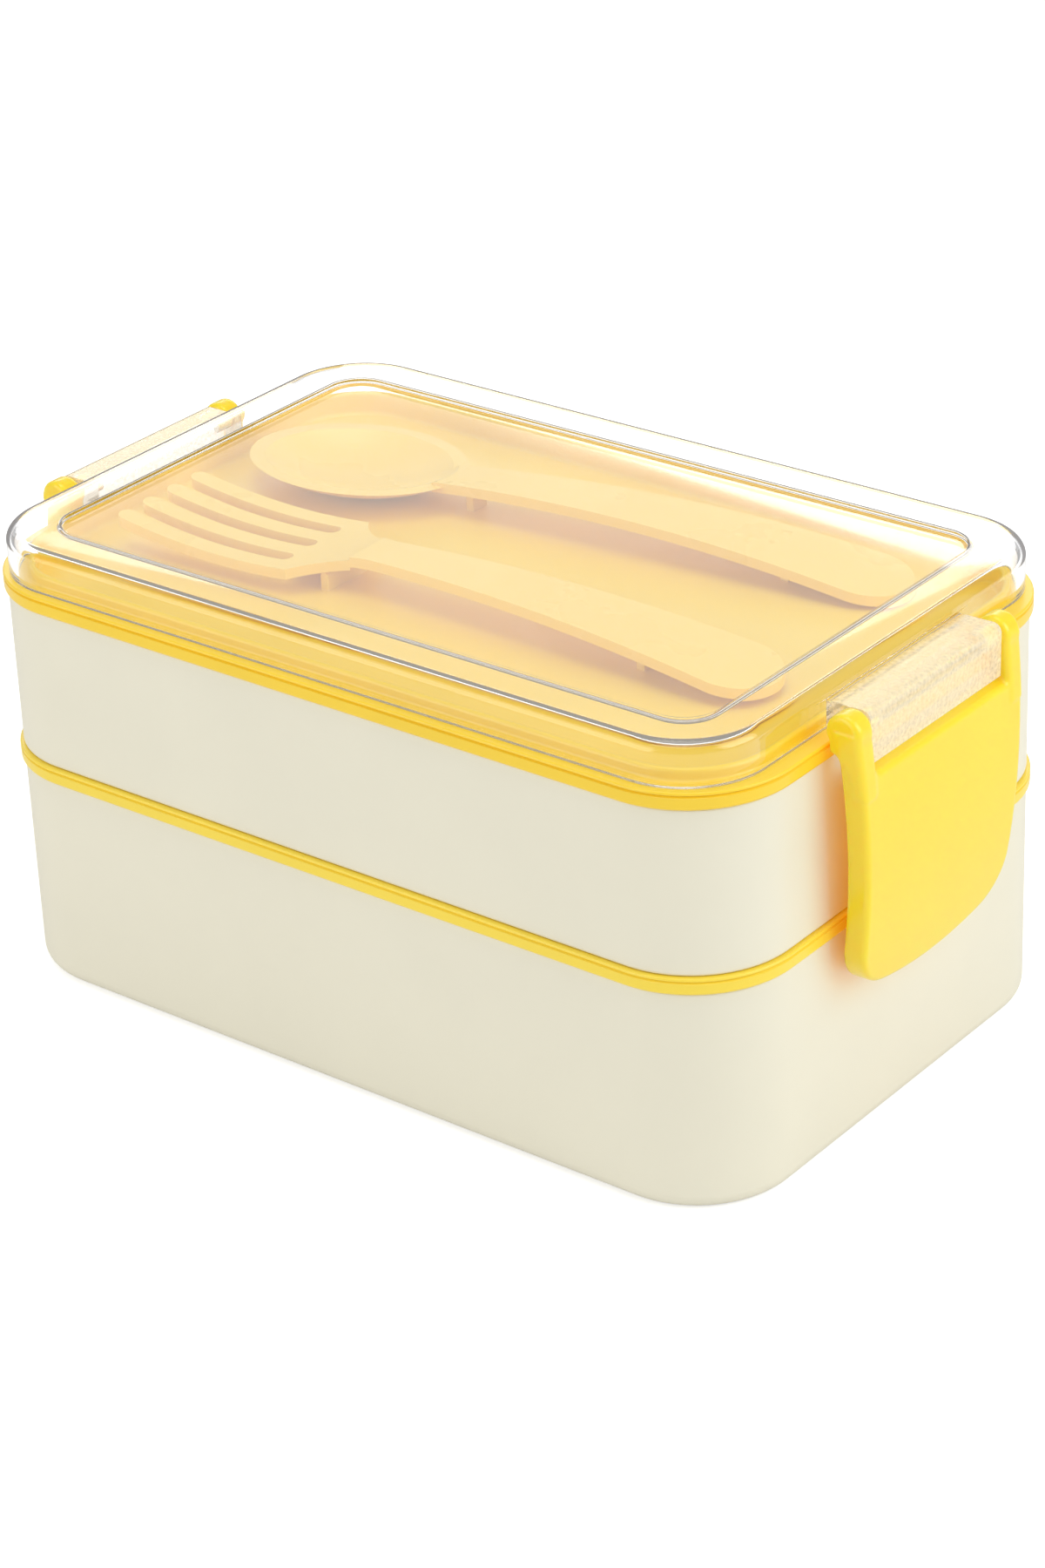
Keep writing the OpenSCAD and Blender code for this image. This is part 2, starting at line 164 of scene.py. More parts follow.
def joined(piece, *others):
    """Joins other pieces into the first, which keeps its name."""
    bm = bmesh.new()
    for part in (piece, *others):
        bm.from_mesh(part.data)
    bm.to_mesh(piece.data)
    bm.free()
    for part in others:
        bpy.data.objects.remove(part)
    return piece


def linear(colour):
    """A colour given as 0 to 255 values, as the shader's linear ones."""
    return [c / 255 / 12.92 if c <= 10 else ((c / 255 + 0.055) / 1.055) ** 2.4 for c in colour]


def graded(tree, value, low, high, start=0, end=1):
    """A node that spreads a socket's range, low to high, over start to end."""
    node = tree.nodes.new("ShaderNodeMapRange")
    limits = {"From Min": low, "From Max": high, "To Min": start, "To Max": end}
    for socket, number in limits.items():
        node.inputs[socket].default_value = number
    tree.links.new(value, node.inputs["Value"])
    return node.outputs["Result"]


def spots(tree, scale, detail=2):
    """A pattern of soft spots that stays on the piece as the piece moves."""
    place = tree.nodes.new("ShaderNodeTexCoord")
    noise = tree.nodes.new("ShaderNodeTexNoise")
    noise.inputs["Scale"].default_value = scale
    noise.inputs["Detail"].default_value = detail
    tree.links.new(place.outputs["Object"], noise.inputs["Vector"])
    return noise.outputs["Fac"]


def moulded_plastic(name, colour, roughness, speck, grain, coat=0, glow=0):
    """Moulded plastic: a faint cloud in its colour and its satin, and a fine grain. The
    coat is a glossier skin, and the glow is light that travels inside the wall."""
    material = bpy.data.materials.new(name)
    material.use_nodes = True
    tree = material.node_tree
    shader = tree.nodes["Principled BSDF"]
    cloud = spots(tree, 38, detail=4)
    tint = tree.nodes.new("ShaderNodeValToRGB")
    stops = tint.color_ramp.elements
    for stop, position, change in zip(stops, (0.3, 0.7), (1 - speck, 1 + speck)):
        stop.position = position
        stop.color = [min(1, c * change) for c in linear(colour)] + [1]
    satin = graded(tree, cloud, 0, 1, roughness - 0.05, roughness + 0.05)
    bump = tree.nodes.new("ShaderNodeBump")
    bump.inputs["Strength"].default_value = grain
    bump.inputs["Distance"].default_value = 0.1 * MM
    tree.links.new(cloud, tint.inputs["Fac"])
    tree.links.new(tint.outputs["Color"], shader.inputs["Base Color"])
    tree.links.new(satin, shader.inputs["Roughness"])
    tree.links.new(spots(tree, 2200), bump.inputs["Height"])
    tree.links.new(bump.outputs["Normal"], shader.inputs["Normal"])
    shader.inputs["IOR"].default_value = 1.49
    shader.inputs["Coat Weight"].default_value = coat
    shader.inputs["Coat Roughness"].default_value = 0.12
    shader.inputs["Subsurface Weight"].default_value = glow
    shader.inputs["Subsurface Radius"].default_value = (1, 0.45, 0.12)
    shader.inputs["Subsurface Scale"].default_value = 3 * MM
    return material


def dress(piece, material, body, slot_name, *nodes):
    """Gives a piece its finish, the body it moves with and the CAD nodes it stands for."""
    piece.data.materials.clear()
    piece.data.materials.append(material)
    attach(piece, body)
    if nodes:
        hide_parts(*nodes)
    return piece


cream_plastic = moulded_plastic("cream_plastic", CREAM, 0.42, speck=0.012, grain=0.05)

tier_plan = (half_l, half_w, corner_r)
inner_r = base_fillet - wall
rim = [*arc(-rim_r, lower_top - rim_r, rim_r, 0, 90, 4),
       *arc(-wall + rim_r, lower_top - rim_r, rim_r, 90, 180, 4)]
lower_section = [
    (-foot_in - sink_start, base_sink), (-foot_in - sink_bevel, base_sink),
    (-foot_in, base_sink - sink_bevel), (-foot_in, foot_bevel), (-foot_in + foot_bevel, 0),
    *arc(-base_fillet, base_fillet, base_fillet, 270, 360, 12),
    *rim,
    *arc(-wall - inner_r, base_sink + wall + inner_r, inner_r, 360, 270, 8),
]
lower_box = moulded_skin("lower_tier", lower_section, tier_plan)
ledge_section = [
    (half_l - wall / 2, ledge_low - ledge_bevel), (half_l + ledge_out, ledge_low + ledge_bevel / 2),
    (half_l + ledge_out, ledge_high - ledge_bevel), (half_l + ledge_out - ledge_bevel, ledge_high),
    (half_l - wall / 2, ledge_high)]
ledges = [bar(f"ledge_{turn}", ledge_section, ledge_w, centre=0, round_edge=0.25 * MM, turn=turn)
          for turn in (0, 180)]
joined(lower_box, *ledges)
dress(lower_box, cream_plastic, "lower_box", "cream_plastic", "lower_box")

# ---------------------------------------------------------------------------
# Middle lid and its seal. A yellow polypropylene lid closes the lower tier: its
# edge is the middle band, a plug below carries a soft silicone ring, and the
# sunk top is the nest that the upper tier's foot drops into.

YELLOW = (251, 221, 70)
SILICONE = (236, 234, 228)
upper_foot = box_low.z
mid_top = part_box("middle_lid")[1].z
edge_r = 0.8 * MM
line_below = 0.85 * MM
line_half = 0.3 * MM
line_deep = 0.45 * MM
band_out = 0.8 * MM
nest_in = 4.6 * MM
nest_floor = 1.4 * MM
plug_h = 5.5 * MM
plug_out = 2.5 * MM
plug_t = 2 * MM
plug_nose = 0.6 * MM
plug_inner_r = 0.5 * MM
plug_root_r = 0.4 * MM
small_r = 0.3 * MM
nest_r = 0.5 * MM
flat_start = 1.2 * MM
groove_low = 4.2 * MM
groove_high = 2 * MM
groove_in = 1 * MM
seal_nose = 0.8 * MM
seal_out = wall + 0.15 * MM

yellow_plastic = moulded_plastic("yellow_plastic", YELLOW, 0.3, speck=0.02, grain=0.02, coat=0.15)
silicone = moulded_plastic("silicone", SILICONE, 0.55, speck=0.01, grain=0.08)


def plug_section(under, top):
    """Section of a lid's underside: plug, seal groove and the edge's lower round."""
    inner = -plug_out - plug_t
    return [
        (inner - flat_start, under),
        *arc(inner - plug_root_r, under - plug_root_r, plug_root_r, 90, 0, 3),
        *arc(inner + plug_inner_r, top - plug_h + plug_inner_r, plug_inner_r, 180, 270, 3),
        *arc(-plug_out - plug_nose, top - plug_h + plug_nose, plug_nose, 270, 360, 4),
        (-plug_out, top - groove_low), (-plug_out - groove_in, top - groove_low),
        (-plug_out - groove_in, top - groove_high), (-plug_out, top - groove_high),
        *arc(-plug_out + small_r, top - small_r, small_r, 180, 90, 3),
        *arc(band_out - edge_r, top + edge_r, edge_r, 270, 360, 6),
    ]


def edge_top(top):
    """A lid's coloured edge above its lower round: a fine line and the upper round."""
    line = top - line_below
    return [(band_out, line - line_half), (band_out - line_deep, line),
            (band_out, line + line_half),
            *arc(band_out - edge_r / 2, top - edge_r / 2, edge_r / 2, 0, 90, 4)]


def seal(name, top):
    """A silicone ring: flat in the groove, round towards the wall it presses on."""
    mid = top - (groove_low + groove_high) / 2
    thick = (groove_low - groove_high) / 2
    root = -plug_out - groove_in
    return moulded_skin(name, [
        (root, mid - thick), (root + groove_in, mid - thick), (root + groove_in, mid - seal_nose),
        *arc(-seal_out - seal_nose, mid, seal_nose, -90, 90, 8),
        (root + groove_in, mid + seal_nose), (root + groove_in, mid + thick),
        (root, mid + thick)], tier_plan, closed=True)


middle_section = [
    *plug_section(lower_top, lower_top), *edge_top(mid_top),
    *arc(-nest_in + small_r, mid_top - small_r, small_r, 90, 180, 3),
    *arc(-nest_in - nest_r, lower_top + nest_floor + nest_r, nest_r, 360, 270, 4),
    (-nest_in - flat_start, lower_top + nest_floor)]
middle_lid = moulded_skin("middle_lid_shell", middle_section, tier_plan)
dress(middle_lid, yellow_plastic, "middle_lid", "yellow_plastic", "middle_lid")
dress(seal("middle_seal_ring", lower_top), silicone, "middle_lid", "silicone", "middle_seal")

# ---------------------------------------------------------------------------
# Upper box. The shallower cream tier, moulded like the lower one, with a stepped
# foot that nests in the middle lid. Two ribs inside each long wall hold the
# loose divider.

upper_top = box_high.z
foot_edge = 5.1 * MM
foot_ring = 4 * MM
recess_z = mid_top - 0.2 * MM
recess_start = 0.8 * MM
upper_floor = mid_top + 1.8 * MM
divider_low, divider_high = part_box("food_divider")
divider_x = (divider_low.x + divider_high.x) / 2
divider_t = 1.6 * MM
rib_t = 1.2 * MM
rib_out = 1.7 * MM
rib_slack = 0.35 * MM
rib_root = 0.2 * MM
rib_lift = 2 * MM

upper_rim = [(out, z - lower_top + upper_top) for out, z in rim]
upper_section = [
    (-foot_edge - foot_ring - recess_start, recess_z), (-foot_edge - foot_ring, recess_z),
    (-foot_edge - foot_ring, upper_foot + small_r), (-foot_edge - foot_ring + small_r, upper_foot),
    *arc(-foot_edge - edge_r, upper_foot + edge_r, edge_r, 270, 360, 5),
    *arc(-foot_edge + small_r, mid_top - small_r, small_r, 180, 90, 3),
    *arc(-edge_r, mid_top + edge_r, edge_r, 270, 360, 6),
    *upper_rim,
    *arc(-wall - inner_r, upper_floor + inner_r, inner_r, 360, 270, 8),
]
upper_box = moulded_skin("upper_tier", upper_section, tier_plan)
ribs = []
for side in (-1, 1):
    for pair in (-1, 1):
        x = divider_x + pair * (divider_t / 2 + rib_slack + rib_t / 2)
        low, high = upper_floor + rib_lift, divider_high.z
        rib = [(x - rib_t / 2, low), (x + rib_t / 2, low), (x + rib_t / 2, high), (x - rib_t / 2, high)]
        middle = side * (half_w - wall - rib_out / 2 + rib_root)
        ribs.append(bar(f"rib_{side}_{pair}", rib, rib_out + 2 * rib_root, centre=middle,
                        round_edge=0.25 * MM))
joined(upper_box, *ribs)
dress(upper_box, cream_plastic, "upper_box", "cream_plastic", "upper_box")

# ---------------------------------------------------------------------------
# Food divider. A loose plate moulded in the tiers' cream plastic. It slides down
# between the upper tier's ribs, its lower corners follow the tier's rounded floor,
# and its top edge is a bead.

divider_reach = divider_high.y
divider_edge = 0.2 * MM
bead_r = 1.2 * MM
bead_short = 3 * MM


def divider_plate():
    """The plate up to the middle of its bead, drawn across the tier and thickened."""
    low = divider_low.z
    top = divider_high.z - bead_r
    outline = [*arc(divider_reach - base_fillet, low + base_fillet, base_fillet, -90, 0, 8),
               (divider_reach, top), (-divider_reach, top),
               *arc(-divider_reach + base_fillet, low + base_fillet, base_fillet, 180, 270, 8)]
    bm = bmesh.new()
    faces = [[bm.verts.new((x, y, z)) for y, z in outline]
             for x in (divider_x - divider_t / 2, divider_x + divider_t / 2)]
    for face in faces:
        bm.faces.new(face)
    for i in range(len(outline)):
        k = (i + 1) % len(outline)
        bm.faces.new((faces[0][i], faces[0][k], faces[1][k], faces[1][i]))
    bmesh.ops.bevel(bm, geom=bm.edges[:], offset=divider_edge, segments=2, profile=0.5,
                    affect="EDGES", clamp_overlap=True)
    return new_piece("divider_plate", bm)


bead = bar("divider_bead", circle(divider_x, divider_high.z - bead_r, bead_r),
           2 * (divider_reach - bead_short), centre=0, round_edge=0.1 * MM)
divider = joined(divider_plate(), bead)
dress(divider, cream_plastic, "food_divider", "cream_plastic", "food_divider")

# ---------------------------------------------------------------------------
# Cutlery tray and its seal. The upper tier's inner lid, moulded in yellow
# polypropylene: its edge is the top band, a low wall runs round its recess under
# the clear lid, and four low saddles carry the cutlery.

# The tray's yellow is deeper and more orange than the middle lid's yellow: painted shade for the tray
# lying under the clear lid.
TRAY_SHADED_YELLOW = (251, 212, 50)
tray_low = upper_top
tray_edge_top = tray_low + 3.8 * MM
tray_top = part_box("cutlery_tray")[1].z
tray_wall_in = 4.6 * MM
tray_wall_t = 1.6 * MM
tray_floor = tray_low + 1.2 * MM
tray_root_r = 0.6 * MM
cutlery_rest = tray_edge_top + 3.6 * MM
saddle_r = 1 * MM
saddle_root = 0.3 * MM
# Each saddle's place along the box, its two ends across it, and how far its top
# lies below the height that the cutlery rests at, all in millimetres.
saddles = [(-28, -24, -7, 2.2), (46, -18.5, -9, 1.9), (-28, 22.5, 27, 1.4), (46, 29.5, 38, 2.8)]

tray_section = [
    *plug_section(tray_low, tray_low), *edge_top(tray_edge_top),
    *arc(-tray_wall_in + tray_root_r, tray_edge_top + tray_root_r, tray_root_r, 270, 180, 4),
    *arc(-tray_wall_in - tray_wall_t / 2, tray_top - tray_wall_t / 2, tray_wall_t / 2, 0, 180, 8),
    *arc(-tray_wall_in - tray_wall_t - MM, tray_floor + MM, MM, 360, 270, 5),
    (-tray_wall_in - tray_wall_t - 2 * MM, tray_floor)]
tray = moulded_skin("tray_shell", tray_section, tier_plan)
for x, y0, y1, drop in saddles:
    x, y0, y1, top = x * MM, y0 * MM, y1 * MM, cutlery_rest - drop * MM
    root = tray_floor - saddle_root
    saddle = [(x - saddle_r, root), (x + saddle_r, root),
              *arc(x, top - saddle_r, saddle_r, 0, 180, 8)]
    joined(tray, bar("saddle", saddle, y1 - y0, centre=(y0 + y1) / 2, round_edge=0.15 * MM))
shaded_tray_plastic = moulded_plastic("shaded_tray_plastic", TRAY_SHADED_YELLOW, 0.3, speck=0.02, grain=0.02, coat=0.15)
dress(tray, shaded_tray_plastic, "cutlery_tray", "yellow_plastic", "cutlery_tray")
dress(seal("tray_seal_ring", tray_low), silicone, "cutlery_tray", "silicone", "tray_seal")

# ---------------------------------------------------------------------------
# Spoon and fork. One-piece mouldings in a paler yellow polypropylene that lie side
# by side in the tray, bowl and tines to one end, each with a gently arched handle.

CUTLERY = (252, 211, 80)
cutlery_plastic = moulded_plastic("cutlery_plastic", CUTLERY, 0.28, speck=0.02, grain=0.01,
                                  coat=0.2)
for name in ("spoon", "fork"):
    cad_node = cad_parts[name]
    cad_node.data.materials.clear()
    cad_node.data.materials.append(cutlery_plastic)

# ---------------------------------------------------------------------------
# Clear lid. A cover moulded in clear polished plastic, with a rounded top edge, a
# slightly sunk panel and, on each short side, a solid frosted lug whose blind holes
# take the clip's stub pins.

CLEAR = (0.985, 0.99, 1)
# The two greys below are painted shade: grey lines on the lid's far rounds in place of the dark edges
# that refraction shows there.
CLEAR_EDGE_PAINTED_SHADE = (0.3, 0.28, 0.27)
RIM_PAINTED_SHADE = (0.32, 0.31, 0.31)
LUG_FROST = (0.98, 0.85, 0.58)
# A darker tint for rays that have met a few surfaces: painted shade that makes the lid's edges grey
# lines.
PASSED_ON = (0.74, 0.69, 0.6)
LIGHT_THROUGH = (0.97, 0.97, 0.97)
lid_low, lid_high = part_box("lid")
lid_hl = 91.2 * MM
lid_hw = lid_high.y
lid_r = 17.5 * MM
lid_t = 1.8 * MM
lid_fillet = 2.6 * MM
lid_foot = tray_edge_top + 0.1 * MM
lid_top = lid_high.z
panel_in = 10.85 * MM
panel_r = 7.4 * MM
panel_z = lid_top - MM
panel_under = panel_z - lid_t
rim_under = lid_top - lid_t
rim_under_r = 1.2 * MM
step_low_r = 0.5 * MM
step_high_r = 0.4 * MM
step_soft = 0.15 * MM
pivot = Vector((98.1 * MM, 0, tray_edge_top + 3 * MM))
lug_w = 44.8 * MM
lug_out = lid_high.x
lug_top = tray_edge_top + 6.2 * MM
lug_foot = lid_low.z
lug_back = half_l + 1.3 * MM
lug_round = 1.6 * MM
lug_lift = 0.6 * MM
hole_r = 1.56 * MM
hole_deep = 4.4 * MM
hole_over = 1 * MM
frost_start = 1.5 * MM
painted_line_share = 0.95
surfaces_met = 3.5


def panel_edge(points):
    """Points of the panel's step, which have the panel's own corner radius."""
    return [(out, z, panel_r + panel_in + out) for out, z in points]


panel_step_under = panel_edge([
    (-panel_in + 0.9 * MM, rim_under), (-panel_in + 0.5 * MM, rim_under - step_soft),
    (-panel_in, panel_under + step_soft), (-panel_in - 0.4 * MM, panel_under),
    (-panel_in - MM, panel_under)])
lid_section = [
    (-panel_in - MM, panel_z, panel_r - MM),
    *panel_edge(arc(-panel_in - step_low_r, panel_z + step_low_r, step_low_r, 270, 360, 4)),
    *panel_edge(arc(-panel_in + step_high_r, lid_top - step_high_r, step_high_r, 180, 90, 4)),
    *arc(-lid_fillet, lid_top - lid_fillet, lid_fillet, 90, 0, 10),
    *arc(-small_r, lid_foot + small_r, small_r, 0, -90, 3),
    *arc(-lid_t + small_r, lid_foot + small_r, small_r, 270, 180, 3),
    *arc(-lid_t - rim_under_r, rim_under - rim_under_r, rim_under_r, 0, 90, 6),
    *panel_step_under]
lid = moulded_skin("clear_lid", lid_section, (lid_hl, lid_hw, lid_r))


def combined(piece, tool, operation):
    """Adds or cuts a tool solid from a piece, and removes the tool."""
    step = piece.modifiers.new(operation.lower(), "BOOLEAN")
    piece.modifiers.move(len(piece.modifiers) - 1, 0)
    step.operation = operation
    step.solver = "EXACT"
    step.object = tool
    for other in piece.modifiers:
        other.show_viewport = other == step
    graph = bpy.context.evaluated_depsgraph_get()
    mesh = bpy.data.meshes.new_from_object(piece.evaluated_get(graph))
    piece.modifiers.remove(step)
    for other in piece.modifiers:
        other.show_viewport = True
    piece.data = mesh
    mesh.polygons.foreach_set("use_smooth", [True] * len(mesh.polygons))
    mesh.set_sharp_from_angle(angle=SHARP_TURN)
    bpy.data.objects.remove(tool)


lug_section = [
    (lid_hl - lid_t / 2, tray_edge_top + lug_lift), (lug_back, tray_edge_top + lug_lift),
    (lug_back, lug_foot), (lug_out, lug_foot),
    *arc(lug_out - lug_round, lug_top - lug_round, lug_round, 0, 90, 6),
    (lid_hl - lid_t / 2, lug_top)]
for turn in (0, 180):
    lug = bar(f"lug_{turn}", lug_section, lug_w, centre=0, round_edge=0.3 * MM, turn=turn)
    combined(lid, lug, "UNION")
    for side in (-1, 1):
        hole = bar(f"hole_{turn}_{side}", circle(pivot.x, pivot.z, hole_r),
                   hole_deep + hole_over, centre=side * (lug_w / 2 - hole_deep / 2 + hole_over / 2),
                   round_edge=0.1 * MM, turn=turn)
        combined(lid, hole, "DIFFERENCE")


def maths(tree, operation, *values):
    """A node that works out a number from sockets or plain values."""
    node = tree.nodes.new("ShaderNodeMath")
    node.operation = operation
    for socket, value in zip(node.inputs, values):
        if isinstance(value, bpy.types.NodeSocket):
            tree.links.new(value, socket)
        else:
            socket.default_value = value
    return node.outputs["Value"]


def between(tree, share, first, second):
    """A colour that goes from the first to the second by a share."""
    node = tree.nodes.new("ShaderNodeMix")
    node.data_type = "RGBA"
    node.inputs["A"].default_value = (*first, 1)
    node.inputs["B"].default_value = (*second, 1)
    tree.links.new(share, node.inputs["Factor"])
    return node.outputs["Result"]


def blended(tree, share, first, second):
    """A surface that goes from the first to the second by a share."""
    node = tree.nodes.new("ShaderNodeMixShader")
    for socket, source in zip(node.inputs, (share, first, second)):
        tree.links.new(source, socket)
    return node.outputs["Shader"]


def far_rounds(tree):
    """1 where a round between a flat face and a wall turns away from the eye, where the lid's grey
    lines of painted shade go.
    """
    eye = tree.nodes.new("ShaderNodeLayerWeight")
    eye.inputs["Blend"].default_value = 0.5
    away = graded(tree, eye.outputs["Facing"], 0.6, 0.67)
    surface = tree.nodes.new("ShaderNodeNewGeometry")
    lean = tree.nodes.new("ShaderNodeSeparateXYZ")
    tree.links.new(surface.outputs["Normal"], lean.inputs["Vector"])
    # A wall's normal has no height and a flat face's has 1; a round's is in between.
    on_round = tree.nodes.new("ShaderNodeValToRGB")
    stops = on_round.color_ramp.elements
    for position, share in ((0.1, 0), (0.2, 1), (0.9965, 1), (0.9995, 0)):
        stops.new(position).color = (share, share, share, 1)
    for spare in (stops[-1], stops[0]):
        stops.remove(spare)
    tree.links.new(maths(tree, "ABSOLUTE", lean.outputs["Z"]), on_round.inputs["Fac"])
    return maths(tree, "MULTIPLY", on_round.outputs["Color"], away)


def lug_frost(tree):
    """How frosted the plastic is: clear up to the end wall, speckled on the lugs."""
    place = tree.nodes.new("ShaderNodeTexCoord")
    along = tree.nodes.new("ShaderNodeSeparateXYZ")
    tree.links.new(place.outputs["Object"], along.inputs["Vector"])
    from_middle = maths(tree, "ABSOLUTE", along.outputs["X"])
    on_lug = graded(tree, from_middle, lid_hl, lid_hl + frost_start)
    speckle = graded(tree, spots(tree, 1100), 0.35, 0.65, 0.35, 0.65)
    return maths(tree, "MULTIPLY", on_lug, speckle)


def clear_plastic(name):
    """Polished clear plastic with frosted lugs and grey lines of painted shade on its far rounds,
    in place of the dark edges that refraction shows there. Light goes straight through it to
    what it covers. A ray that has met a few surfaces goes straight on too, a little darker, a
    painted shade that makes the edges lines and not black."""
    material = bpy.data.materials.new(name)
    material.use_nodes = True
    tree = material.node_tree
    shader = tree.nodes["Principled BSDF"]
    shader.inputs["Transmission Weight"].default_value = 1
    shader.inputs["IOR"].default_value = 1.49
    far_round = far_rounds(tree)
    polish = graded(tree, spots(tree, 25), 0, 1, 0.01, 0.035)
    tree.links.new(between(tree, far_round, CLEAR, CLEAR_EDGE_PAINTED_SHADE), shader.inputs["Base Color"])
    tree.links.new(polish, shader.inputs["Roughness"])
    # A grey diffuse over the far rounds: painted shade for the lid's dark edge lines.
    line = tree.nodes.new("ShaderNodeBsdfDiffuse")
    line.inputs["Color"].default_value = (*RIM_PAINTED_SHADE, 1)
    lined_with_painted_shade = blended(tree, maths(tree, "MULTIPLY", far_round, painted_line_share),
                    shader.outputs["BSDF"], line.outputs["BSDF"])
    milk = tree.nodes.new("ShaderNodeBsdfDiffuse")
    milk.inputs["Color"].default_value = (*LUG_FROST, 1)
    frosted = blended(tree, lug_frost(tree), lined_with_painted_shade, milk.outputs["BSDF"])
    rays = tree.nodes.new("ShaderNodeLightPath").outputs
    lights = maths(tree, "MAXIMUM", rays["Is Shadow Ray"],
                   maths(tree, "GREATER_THAN", rays["Diffuse Depth"], 0.5))
    spent = maths(tree, "GREATER_THAN", rays["Ray Depth"], surfaces_met)
    through = tree.nodes.new("ShaderNodeBsdfTransparent")
    tree.links.new(between(tree, lights, PASSED_ON, LIGHT_THROUGH), through.inputs["Color"])
    whole = blended(tree, maths(tree, "MAXIMUM", lights, spent),
                    frosted, through.outputs["BSDF"])
    tree.links.new(whole, tree.nodes["Material Output"].inputs["Surface"])
    return material


dress(lid, clear_plastic("clear_plastic"), "lid", "clear_plastic", "lid")

# ---------------------------------------------------------------------------
# Clips. A yellow snap clip at each end: one moulding with a bulged plate, two ears
# whose stub pins turn in the lid's lug, and a hook inside the lower end. The form
# is a field of distances, in millimetres, with a skin drawn over it.

CLIP = (255, 221, 40)
CLIP_SEEPS = (0.92, 0.58, 0.1)
clip_low, clip_high = (Vector([c / MM for c in corner]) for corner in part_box("clip_right"))
clip_half = clip_high.y
clip_low_half = 25.0
clip_taper_z = 40.0
clip_corner = 11.0
clip_belly_r = 75.0
clip_round = 1.0
clip_wall = 2.0
clip_depth = 4.8
clip_fold = 0.5
hollow_round = 0.8
plate_x = 103.1
bulge_r = 170.0
bulge_x = plate_x - bulge_r
bulge_z = tray_edge_top / MM - 20.8
pivot_x, pivot_z = pivot.x / MM, pivot.z / MM
ear_r = 3.8
ear_in = 22.8
ear_round = 1.1
ear_fill = 0.8
ear_low = pivot_z - 12.8
ear_back = (half_l + band_out) / MM + 0.6
cove_r = 6.4
cove_x = ear_back - 1.3
cove_z = ear_low + 2
notch_z = tray_edge_top / MM - 5.8
notch_r = 1.5
lip = 2.5
hook_half = 14.0
hook_t = 2.4
hook_round = 0.4
hook_fill = 0.6
hook_z = ledge_low / MM - 1.9
hook_tip = (half_l + ledge_out) / MM + 0.2
ledge_gap = (ledge_w / MM / 2 + 1, ledge_low / MM)
stub_r = 1.5
stub_end = 18.8
stub_root = 2


def from_polygon(points, y, z):
    """Distance from a closed outline, negative inside."""
    corners = np.asarray(points)
    best = np.full(y.shape, 1e9)
    inside = np.zeros(y.shape, bool)
    for (ay, az), (by, bz) in zip(corners, np.roll(corners, -1, axis=0)):
        ey, ez = by - ay, bz - az
        share = np.clip(((y - ay) * ey + (z - az) * ez) / (ey * ey + ez * ez), 0, 1)
        best = np.minimum(best, np.hypot(y - ay - share * ey, z - az - share * ez))
        crosses = (az > z) != (bz > z)
        if ez:
            inside ^= crosses & (y < ay + (z - az) * ey / ez)
    return np.where(inside, -best, best)


def both(a, b, radius):
    """What lies in both solids, the edge between them rounded."""
    corner = np.hypot(np.maximum(radius + a, 0), np.maximum(radius + b, 0))
    return np.minimum(-radius, np.maximum(a, b)) + corner


def either(a, b, radius):
    """What lies in either solid, the inner corner between them filled."""
    corner = np.hypot(np.maximum(radius - a, 0), np.maximum(radius - b, 0))
    return np.maximum(radius, np.minimum(a, b)) - corner


def clip_outline():
    """Front outline in Y and Z: tapered sides, round corners, a belly and the notch."""
    top = np.array((clip_half, pivot_z))
    low = np.array((clip_low_half, clip_taper_z))
    along = (low - top) / np.linalg.norm(low - top)
    inward = np.array((along[1], -along[0]))
    belly = np.array((0, clip_low.z + clip_belly_r))
    start = top + inward * clip_corner - belly
    reach = start @ along
    inner_r2 = (clip_belly_r - clip_corner) ** 2
    centre = start + belly + along * (math.sqrt(reach ** 2 - start @ start + inner_r2) - reach)
    out = (centre - belly) / np.linalg.norm(centre - belly)
    side_turn = math.degrees(math.atan2(-inward[1], -inward[0]))
    belly_turn = math.degrees(math.atan2(out[1], out[0]))
    half = [*arc(*belly, clip_belly_r, -90, belly_turn, 14)[:-1],
            *arc(*centre, clip_corner, belly_turn, side_turn, 10),
            (clip_half, pivot_z), (clip_half, pivot_z + ear_r + 1),
            (ear_in, pivot_z + ear_r + 1),
            *arc(ear_in - notch_r, notch_z + notch_r, notch_r, 360, 270, 5)]
    return half + [(-y, z) for y, z in reversed(half[1:])]


def clip_field(outline):
    """The clip as a function that gives each point's distance, negative inside."""
    def field(x, y, z):
        face = from_polygon(outline, y, z)
        bulge = np.hypot(x - bulge_x, z - bulge_z)
        shell = both(both(face, bulge - bulge_r, clip_round), bulge_r - clip_depth - bulge,
                     clip_fold)
        shell = np.maximum(shell, z - pivot_z)
        hollow = both(np.maximum(face + clip_wall, z - notch_z + lip),
                      bulge - bulge_r + clip_wall, hollow_round)
        shell = np.maximum(shell, -hollow)
        eye = np.hypot(x - pivot_x, z - pivot_z) - ear_r
        cove = np.where(z < cove_z, cove_x + cove_r - x, cove_r - np.hypot(x - cove_x, z - cove_z))
        leg = np.maximum.reduce([ear_back - x, z - pivot_z, ear_low - z, bulge - bulge_r, cove])
        side = np.maximum(ear_in - np.abs(y), np.maximum(np.abs(y) - clip_half, face))
        ears = both(np.minimum(eye, leg), side, ear_round)
        stub = np.maximum(np.hypot(x - pivot_x, z - pivot_z) - stub_r,
                          np.maximum(stub_end - np.abs(y), np.abs(y) - ear_in - stub_root))
        relief = np.maximum.reduce([x - hook_tip, np.abs(y) - ledge_gap[0], z - ledge_gap[1]])
        hook = np.maximum.reduce([np.abs(z - hook_z) - hook_t / 2 + hook_round,
                                  np.abs(y) - hook_half + hook_round,
                                  hook_tip + hook_round - x,
                                  bulge - bulge_r + clip_wall / 2]) - hook_round
        plate = np.maximum(either(shell, ears, ear_fill), -relief)
        return np.minimum(either(plate, hook, hook_fill), stub)
    return field


